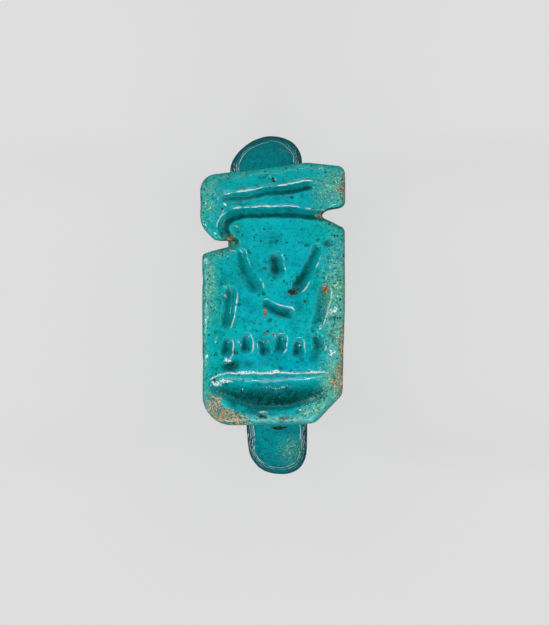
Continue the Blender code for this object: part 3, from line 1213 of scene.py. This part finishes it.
        # The pool share: darker glaze in the strokes, with painted shade on their shaded walls, in the
        # hollows and along the rim.
        store(ring.data, "pooled", self.cover.pooled(pressed.pool, wear.pop(Wear.HOLLOW), zones))
        store(ring.data, "gleam", gleam * zones.facing)
        for name, values in self.cover.hoop_shares(self.hoop.flow(zones.points), zones).items():
            store(ring.data, name, values)
        for kind, values in self.cover.worn(wear, pressed, zones).items():
            store(ring.data, kind.value, values)
        ring.data.shade_smooth()
        for face in ring.data.polygons:
            face.use_smooth = face.center.z > self.flat_reach * MM
        return ring


class Shading:
    """A material's nodes, added step by step. Sizes are in millimetres of the object's own space.

    The edge of a scattered dot wobbles: the ragged share is how far, as a share of the distance between
    dots, and the ragged turns are how often in that distance. The least dot and a dot's fade are shares of
    its usual radius.
    """

    ragged_share: float = 0.45
    ragged_turns: float = 2.5
    least_dot: float = 0.4
    dot_fade: float = 0.25

    def __init__(self, name: str) -> None:
        """Starts the material with its plain shader.

        Args:
            name: the material's name.
        """
        self.material = bpy.data.materials.new(name)
        self.material.use_nodes = True
        self.tree = self.material.node_tree
        self.shader = self.tree.nodes["Principled BSDF"]
        self.space = self.tree.nodes.new("ShaderNodeTexCoord").outputs["Object"]
        self.colour: Tint = (0, 0, 0)

    def add(self, kind: str, links: dict, **settings) -> bpy.types.Node:
        """One node, with its settings and what comes into it.

        Args:
            kind: the node's type, after the word ShaderNode.
            links: each input's name or number, with a socket to link or a value to set.
            settings: the node's own properties.

        Returns:
            The new node.
        """
        node = self.tree.nodes.new("ShaderNode" + kind)
        for name, value in settings.items():
            setattr(node, name, value)
        for name, value in links.items():
            if isinstance(value, Socket):
                self.tree.links.new(value, node.inputs[name])
            else:
                node.inputs[name].default_value = value
        return node

    def into(self, name: str, value: Socket) -> None:
        """Links this socket to the shader's own input of that name."""
        self.tree.links.new(value, self.shader.inputs[name])

    def attribute(self, name: str) -> Socket:
        """One of the skin's own values."""
        return self.add("Attribute", {}, attribute_name=name).outputs["Fac"]

    def noise(self, size: float, detail: float = 2.0, rough: float = 0.5, shift: float = 0.0) -> Socket:
        """Soft noise about 0.5.

        Args:
            size: width of one swell.
            detail: how many finer noises are added.
            rough: how strong the finer ones are.
            shift: sets one noise apart from another.

        Returns:
            The noise's socket.
        """
        moved = self.add("Mapping", {"Vector": self.space, "Location": (shift * MM, 0, shift * MM)})
        links = {"Vector": moved.outputs[0], "Scale": 1 / (size * MM), "Detail": detail, "Roughness": rough}
        return self.add("TexNoise", links).outputs["Fac"]

    def dots(self, size: float, radius: float, some: Value, shift: float = 0.0) -> tuple[Socket, Socket]:
        """Scattered ragged dots of uneven sizes.

        Args:
            size: the distance between neighbours.
            radius: the dots' usual radius as a share of that distance.
            some: the share of them that is there, or a socket that gives it.
            shift: sets one scatter apart from another.

        Returns:
            A socket that is 1 in the dots, and one that differs from dot to dot.
        """
        turns = {"Vector": self.space, "Scale": self.ragged_turns / (size * MM), "Detail": 1.0}
        wobble = self.add("TexNoise", turns).outputs["Color"]
        ragged = {0: wobble, 1: (self.ragged_share * size * MM,) * 3}
        moved = self.add("VectorMath", ragged, operation="MULTIPLY")
        for offset in (self.space, (shift * MM, shift * MM, 0)):
            moved = self.add("VectorMath", {0: moved.outputs[0], 1: offset}, operation="ADD")
        cells = self.add("TexVoronoi", {"Vector": moved.outputs[0], "Scale": 1 / (size * MM)})
        pick = self.add("SeparateColor", {"Color": cells.outputs["Color"]})
        wide = self.plus(pick.outputs["Blue"], radius, self.least_dot * radius)
        inside = self.math("SUBTRACT", wide, cells.outputs["Distance"])
        near = self.step(inside, 0.0, self.dot_fade * radius)
        there = self.math("LESS_THAN", pick.outputs["Red"], some)
        return self.times(near, there), pick.outputs["Green"]

    def step(self, value: Value, low: float, high: float) -> Socket:
        """A smooth step from 0 at low to 1 at high."""
        links = {"Value": value, "From Min": low, "From Max": high}
        return self.add("MapRange", links, interpolation_type="SMOOTHSTEP").outputs["Result"]

    def math(self, operation: str, *values: Value) -> Socket:
        """Two or three values worked into one, held between 0 and 1."""
        return self.add("Math", dict(enumerate(values)), operation=operation, use_clamp=True).outputs[0]

    def times(self, *values: Value) -> Value:
        """The product of these values, held between 0 and 1."""
        return reduce(partial(self.math, "MULTIPLY"), values)

    def most(self, *values: Value) -> Value:
        """The largest of these values."""
        return reduce(partial(self.math, "MAXIMUM"), values)

    def plus(self, value: Value, factor: Value, more: Value) -> Socket:
        """The product of value and factor, with some more added."""
        return self.math("MULTIPLY_ADD", value, factor, more)

    def mix(self, share: Value, first: Tint, second: Tint) -> Socket:
        """A colour between two others, with this share of the second one."""
        first, second = (linear(end) if isinstance(end, tuple) else end for end in (first, second))
        return self.add("Mix", {"Factor": share, "A": first, "B": second}, data_type="RGBA").outputs["Result"]

    def lay(self, colour: Tint, *shares: Value) -> None:
        """Lays a colour over the colour so far, by the product of these shares."""
        self.colour = self.mix(self.times(*shares), self.colour, colour)


@dataclass(frozen=True)
class TurquoiseGlaze:
    """The glaze: glossy turquoise, darker where it gathered in the strokes, pale green where it ran thin, and
    worn.
    Painted light and shade lie on it too: soft swells, shade in the strokes, on the rim and on the hoop's
    shoulders, and white highlight lines and glints.

    Each of the shoulder_highlights is a painted highlight line along the hoop's shoulders: how far out it
    lies, and how wide it is.
    """

    field_colour: Colour = (0, 180, 188)
    bluer_colour: Colour = (0, 168, 194)
    greener_colour: Colour = (4, 172, 154)
    # The darker glaze of the strokes, also the colour of the painted shade in them, in the hollows and along
    # the rim.
    pool_and_shade_colour: Colour = (0, 88, 88)
    pool_shade: Colour = (0, 48, 46)
    deep_colour: Colour = (0, 144, 153)
    # A darker tone, for random mottle on the hoop and for the painted shade of its outer shoulders.
    hoop_mottle_and_shade_colour: Colour = (0, 88, 94)
    dusky_colour: Colour = (3, 136, 142)
    freckle_colour: Colour = (6, 98, 84)
    thin_colour: Colour = (62, 190, 164)
    light_colour: Colour = (8, 194, 202)
    shade_colour: Colour = (0, 122, 128)
    bare_colour: Colour = (150, 134, 90)
    soil_colour: Colour = (246, 180, 106)
    earth_colour: Colour = (186, 122, 62)
    soil_shade: Colour = (6, 70, 62)
    soil_pale: Colour = (84, 158, 136)
    chip_colour: Colour = (216, 154, 90)
    chip_shade: Colour = (94, 64, 32)
    pit_colour: Colour = (12, 40, 30)
    pit_shade: Colour = (30, 84, 64)
    speck_colour: Colour = (14, 54, 40)
    rust_colour: Colour = (118, 60, 28)
    pale_colour: Colour = (164, 224, 194)
    # White encrustation, and the painted highlight lines and glints.
    crust_colour: Colour = (228, 240, 236)
    roughness: float = 0.08
    worn_roughness: float = 0.55
    specular: float = 0.85
    relief_depth: float = 0.08
    relief_strength: float = 0.8
    shoulder_highlights: tuple[Pair, ...] = ((0.78, 0.022), (0.84, 0.014), (0.90, 0.016), (0.95, 0.014))

    def material(self, name: str) -> bpy.types.Material:
        """The glaze as a material.

        Args:
            name: the material's name.

        Returns:
            The material, which reads the skin's own values.
        """
        shading = GlazeShading(name, self)
        shading.lay_glaze()
        shading.lay_pools()
        shading.lay_thin()
        shading.lay_soil()
        shading.lay_specks()
        shading.lay_breaks()
        shading.lay_crust()
        shading.finish()
        return shading.material


class GlazeShading(Shading):
    """The nodes of the glaze. Each step lays one thing over the colour so far.

    The two numbers of a step say where its value begins to count and where it counts in full. A number
    at the end of a lay is the strength of that layer.
    """

    def __init__(self, name: str, glaze: TurquoiseGlaze) -> None:
        """Reads the skin's values and makes the noises that several steps share.

        Args:
            name: the material's name.
            glaze: the colours and the gloss.
        """
        super().__init__(name)
        self.glaze = glaze
        kinds = (Wear.THIN, Wear.SOIL, Wear.CHIP, Wear.PIT, Wear.CRUST, Wear.DULL)
        self.thin, self.soil, self.chip, self.pit, self.crust, self.dull = (
            self.attribute(kind.value) for kind in kinds
        )
        self.pooled, self.deep = self.attribute("pooled"), self.attribute("deep")
        self.grain = self.noise(0.12, rough=0.6)
        self.fine = self.noise(0.15, rough=0.6, shift=80.0)
        self.crumb = self.noise(0.20, rough=0.7, shift=90.0)
        self.blots = self.noise(0.30, detail=3.0, rough=0.6, shift=20.0)
        self.mottle = self.noise(0.6, detail=4.0, rough=0.65, shift=40.0)
        self.clusters = self.step(self.noise(1.1, shift=70.0), 0.45, 0.65)
        self.patchy = self.plus(self.thin, 0.8, self.step(self.mottle, 0.45, 0.75))
        self.worn = self.times(self.thin, self.step(self.mottle, 0.30, 0.62))

    def lay_glaze(self) -> None:
        """The turquoise with its slow changes, painted soft light and shade of swells, the deeper tone of the
        hoop, and the painted shade of its outer shoulders.
        """
        glaze, mottle = self.glaze, self.mottle
        self.colour = glaze.field_colour
        self.lay(glaze.bluer_colour, self.step(self.noise(2.2), 0.4, 0.75))
        # Painted light and shade of soft swells, not tied to the skin's own relief.
        swell = self.noise(1.4, rough=0.4, shift=30.0)
        self.lay(glaze.light_colour, self.step(swell, 0.50, 0.70), 0.5)
        self.lay(glaze.shade_colour, self.step(swell, 0.48, 0.30), 0.45)
        self.lay(glaze.greener_colour, self.attribute("green"), self.step(mottle, 0.2, 0.7))
        self.lay(glaze.dusky_colour, self.step(self.noise(0.9, detail=3.0, shift=60.0), 0.5, 0.8), 0.7)
        self.lay(glaze.deep_colour, self.deep)
        # The same dark colour as random mottle on the hoop, and then as painted shade on its outer shoulders.
        self.lay(glaze.hoop_mottle_and_shade_colour, self.deep, self.step(mottle, 0.45, 0.70), 0.45)
        self.lay(glaze.hoop_mottle_and_shade_colour, self.attribute("shoulder"), 0.85)

    def lay_pools(self) -> None:
        """The dark of the pools, partly darker glaze and partly painted shade, the glaze's own grain and soft
        smudges.
        """
        glaze, fine = self.glaze, self.fine
        uneven = self.times(self.pooled, self.plus(self.blots, 0.9, 0.55))
        self.lay(glaze.pool_and_shade_colour, self.step(uneven, 0.0, 0.9))
        self.lay(glaze.pool_shade, self.step(uneven, 0.5, 1.0), self.step(self.blots, 0.4, 0.6))
        self.lay(glaze.light_colour, self.step(fine, 0.5, 0.72), self.plus(self.pooled, -0.4, 0.5))
        self.lay(glaze.shade_colour, self.step(fine, 0.5, 0.3), 0.5)
        smudges, faint = self.dots(0.34, 0.40, self.plus(self.clusters, 0.55, 0.10), shift=7.0)
        self.lay(glaze.freckle_colour, smudges, self.plus(faint, 0.6, 0.2))

    def lay_thin(self) -> None:
        """The pale green, grainy glaze where it ran thin, and freckles."""
        glaze, thin = self.glaze, self.thin
        self.lay(glaze.thin_colour, self.worn, 0.75)
        self.lay(glaze.pale_colour, thin, self.step(self.grain, 0.56, 0.64))
        self.lay(glaze.freckle_colour, thin, self.step(self.crumb, 0.55, 0.61))
        self.lay(glaze.bare_colour, thin, self.step(self.fine, 0.585, 0.64))
        self.lay(glaze.freckle_colour, self.step(self.blots, 0.56, 0.68), self.plus(self.patchy, 0.6, 0.3))

    def lay_soil(self) -> None:
        """The tan paste that shows in crumbs where the glaze is rubbed away."""
        glaze, soil = self.glaze, self.soil
        ground = self.mix(self.step(self.fine, 0.42, 0.58), glaze.soil_shade, glaze.soil_pale)
        self.lay(ground, self.step(soil, 0.05, 0.45), 0.75)
        grit = self.noise(0.08, detail=1.0, shift=110.0)
        crumbs = self.plus(grit, 0.5, self.times(self.crumb, 0.5))
        crumbs = self.step(self.plus(soil, 0.10, crumbs), 0.572, 0.600)
        self.soiled = self.times(crumbs, self.step(soil, 0.02, 0.2))
        earth = self.mix(self.step(self.blots, 0.42, 0.58), glaze.soil_colour, glaze.earth_colour)
        self.lay(earth, self.soiled, 0.9)

    def lay_specks(self) -> None:
        """Dark and rusty specks, and pale flecks where the glaze is thin."""
        glaze, thin = self.glaze, self.thin
        some = self.plus(self.patchy, 0.32, self.plus(self.clusters, 0.06, 0.01))
        self.specks, which = self.dots(0.17, 0.36, some)
        rusty = self.most(self.math("POWER", which, 4.0), self.times(thin, self.step(which, 0.35, 0.6)))
        self.lay(self.mix(rusty, glaze.speck_colour, glaze.rust_colour), self.specks, 0.95)
        flecks, _ = self.dots(0.13, 0.36, self.times(thin, 0.24), shift=3.0)
        self.lay(glaze.pale_colour, flecks, 0.7)

    def lay_breaks(self) -> None:
        """Chips down to the tan paste, and dark pits."""
        glaze, grain, crumb = self.glaze, self.grain, self.crumb
        cracks = self.math("MINIMUM", self.step(grain, 0.46, 0.53), self.step(crumb, 0.42, 0.50))
        self.chip = self.step(self.times(self.chip, self.math("ADD", grain, self.fine)), 0.38, 0.5)
        self.lay(self.mix(cracks, glaze.chip_shade, glaze.chip_colour), self.chip)
        self.pit = self.step(self.times(self.pit, self.math("ADD", grain, crumb)), 0.22, 0.50)
        self.lay(self.mix(self.step(self.fine, 0.45, 0.60), glaze.pit_colour, glaze.pit_shade), self.pit)

    def shoulder_highlight_lines(self) -> Socket:
        """The painted highlight lines along the hoop's shoulders, broken in places.

        Returns:
            A socket that is 1 on the lines.
        """
        flow, found = self.attribute("flow"), 0.0
        for i, (out, width) in enumerate(self.glaze.shoulder_highlights):
            sides = [self.step(flow, out + side, out) for side in (-width, width)]
            unbroken = self.step(self.noise(0.9, shift=150.0 + 20 * i), 0.34, 0.52)
            found = self.most(found, self.times(*sides, unbroken))
        return self.times(found, self.attribute("flowing"))

    def lay_crust(self) -> None:
        """White encrustation with painted glints, and the painted highlight lines on the lips and along the
        hoop's shoulders.
        """
        crusted = self.step(self.times(self.crust, self.step(self.grain, 0.35, 0.62)), 0.25, 0.6)
        lines = self.most(self.attribute("gleam"), self.shoulder_highlight_lines())
        uneven = self.plus(self.step(self.crumb, 0.3, 0.55), 0.4, 0.5)
        gleaming = self.times(self.step(lines, 0.25, 0.85), uneven)
        self.crusted = self.most(crusted, gleaming)
        self.lay(self.glaze.crust_colour, self.crusted)

    def finish(self) -> None:
        """The shader's colour, gloss and fine relief."""
        glaze, times = self.glaze, self.times
        self.into("Base Color", self.colour)
        rough = self.most(self.soiled, self.chip, times(self.pit, 0.3), self.crusted, times(self.worn, 0.9))
        rough = self.most(rough, times(self.crust, 0.8), self.dull, times(self.pooled, 0.12))
        links = {"Value": rough, "To Min": glaze.roughness, "To Max": glaze.worn_roughness}
        self.into("Roughness", self.add("MapRange", links).outputs[0])
        self.shader.inputs["Specular IOR Level"].default_value = glaze.specular
        gritty = self.most(self.thin, self.crust, times(self.pooled, 0.32), 0.06)
        relief = self.plus(times(self.grain, gritty), 0.8, 0.2)
        relief = self.math("SUBTRACT", relief, times(self.specks, 0.1))
        links = {"Height": relief, "Distance": glaze.relief_depth * MM, "Strength": glaze.relief_strength}
        self.into("Normal", self.add("Bump", links).outputs["Normal"])


def as_object(name: str, mesh: BMesh) -> Object:
    """A new object in the scene.

    Args:
        name: the object's name.
        mesh: its shape, which is freed.

    Returns:
        The new object.
    """
    data = bpy.data.meshes.new(name)
    mesh.to_mesh(data)
    mesh.free()
    made = bpy.data.objects.new(name, data)
    bpy.context.scene.collection.objects.link(made)
    return made


def places(mesh: Mesh) -> Array:
    """The places of the mesh's vertices, one row each."""
    return np.array([vertex.co for vertex in mesh.vertices])


def place(mesh: Mesh, points: Array) -> None:
    """Moves the mesh's vertices to these points."""
    mesh.vertices.foreach_set("co", points.ravel())
    mesh.update()


def evened(points: Array, mesh: Mesh) -> Array:
    """Points moved halfway to the middle of their neighbours.

    Args:
        points: one place for each vertex of the mesh.
        mesh: the mesh whose edges say which vertices are neighbours.

    Returns:
        The new places.
    """
    ends = np.empty(2 * len(mesh.edges), int)
    mesh.edges.foreach_get("vertices", ends)
    ends = ends.reshape(-1, 2).T
    total, count = np.zeros(points.shape), np.zeros(len(points))
    for here, there in (ends, ends[::-1]):
        np.add.at(total, here, points[there])
        np.add.at(count, here, 1)
    return (points + total / count[:, None]) / 2


def store(mesh: Mesh, name: str, values: Array) -> None:
    """Keeps one value from 0 to 1 for each vertex, for the material to read."""
    attribute = mesh.attributes.new(name, "FLOAT", "POINT")
    attribute.data.foreach_set("value", np.clip(values, 0, 1).astype(np.float32))


@dataclass(frozen=True)
class Lamp:
    """A soft rectangular light that faces the ring. Its angles are in degrees, clockwise from +Y and up."""

    name: str
    azimuth: float
    elevation: float
    size: Pair
    watts: float
    mirrored: bool = True
    distance: float = 0.5

    def build(self, target: Vector) -> None:
        """Makes the light.

        Args:
            target: the place that it faces.
        """
        data = bpy.data.lights.new(self.name, "AREA")
        data.shape = "RECTANGLE"
        data.size, data.size_y = self.size
        data.energy = self.watts
        made = bpy.data.objects.new(self.name, data)
        bpy.context.scene.collection.objects.link(made)
        turn, rise = math.radians(self.azimuth), math.radians(self.elevation)
        way = Vector((math.cos(rise) * math.sin(turn), math.cos(rise) * math.cos(turn), math.sin(rise)))
        made.location = target + way * self.distance
        made.rotation_euler = way.to_track_quat("Z", "Y").to_euler()
        made.visible_camera = False
        made.visible_glossy = self.mirrored


@dataclass
class Studio:
    """A pale floor, soft lights at the sides and a camera straight above.

    Its sizes are in metres, those of the camera's lens and sensor in millimetres. The room's grey is
    given at the horizon and overhead, each with the height in the room at which it begins.
    """

    floor_size: float = 3.0
    floor_grey: float = 123
    floor_glow: float = 2.72
    floor_sheen: float = 0.1
    face_height: float = Tablet.face_height * MM
    camera_height: float = 0.5
    camera_place: Point = (0.00006, -0.00048)
    nearest_shown: float = 0.01
    lens: float = 453.5
    sensor: float = 36.0
    horizon: Pair = (0.35, 0.25)
    overhead: Pair = (0.85, 0.0)
    lamps: tuple[Lamp, ...] = (
        Lamp("overhead_light", 0, 80, (0.6, 0.6), 2.0, mirrored=False),
        Lamp("foot_light", 180, 26, (0.34, 0.05), 0.95),
        Lamp("left_light", 270, 32, (0.04, 0.3), 0.6),
        Lamp("right_light", 90, 32, (0.04, 0.3), 0.3),
        Lamp("head_light", 0, 32, (0.3, 0.04), 0.06),
    )

    def lay_floor(self) -> None:
        """Makes the floor that the ring rests on, darker in the ring's reflections."""
        mesh = bmesh.new()
        bmesh.ops.create_grid(mesh, x_segments=1, y_segments=1, size=self.floor_size / 2)
        made = as_object("floor", mesh)
        shading = Shading("pale_floor")
        ray = shading.add("LightPath", {}).outputs["Is Glossy Ray"]
        colour = shading.mix(ray, (self.floor_grey,) * 3, (self.floor_grey * self.floor_sheen,) * 3)
        shading.into("Base Color", colour)
        shading.into("Emission Color", colour)
        shading.shader.inputs["Emission Strength"].default_value = self.floor_glow
        shading.shader.inputs["Roughness"].default_value = 1.0
        shading.shader.inputs["Specular IOR Level"].default_value = 0.0
        made.data.materials.append(shading.material)

    def set_camera(self) -> None:
        """Makes the camera, straight above the tablet."""
        data = bpy.data.cameras.new("camera")
        data.lens = self.lens
        data.sensor_width = self.sensor
        data.clip_start = self.nearest_shown
        made = bpy.data.objects.new("camera", data)
        bpy.context.scene.collection.objects.link(made)
        made.location = (*self.camera_place, self.face_height + self.camera_height)
        bpy.context.scene.camera = made

    def surround(self) -> None:
        """Makes the room, pale at the horizon and dark overhead."""
        world = bpy.data.worlds.new("studio")
        bpy.context.scene.world = world
        world.use_nodes = True
        tree = world.node_tree
        way = tree.nodes.new("ShaderNodeTexCoord")
        parts = tree.nodes.new("ShaderNodeSeparateXYZ")
        shade = tree.nodes.new("ShaderNodeValToRGB")
        for stop, (height, grey) in zip(shade.color_ramp.elements, (self.horizon, self.overhead)):
            stop.position = height
            stop.color = (grey, grey, grey, 1)
        tree.links.new(way.outputs["Generated"], parts.inputs[0])
        tree.links.new(parts.outputs["Z"], shade.inputs["Fac"])
        tree.links.new(shade.outputs["Color"], tree.nodes["Background"].inputs["Color"])

    def build(self) -> None:
        """Sets up the whole studio."""
        self.lay_floor()
        self.set_camera()
        self.surround()
        for lamp in self.lamps:
            lamp.build(Vector((0, 0, self.face_height)))
        bpy.context.scene.view_settings.view_transform = "Standard"


def main() -> None:
    """Builds the ring and the studio, and reports each piece."""
    logging.basicConfig(level=logging.INFO, format="%(name)s: %(message)s")
    maker = SealRing()
    ring = maker.build()
    ring.data.materials.clear()
    ring.data.materials.append(TurquoiseGlaze().material(maker.slot))
    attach(ring, "root")
    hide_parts(maker.cad_node)
    triangles = sum(len(face.vertices) - 2 for face in ring.data.polygons)
    log.info("%s: %d vertices, %d triangles", ring.name, len(ring.data.vertices), triangles)
    Studio().build()


if __name__ == "__main__":
    main()
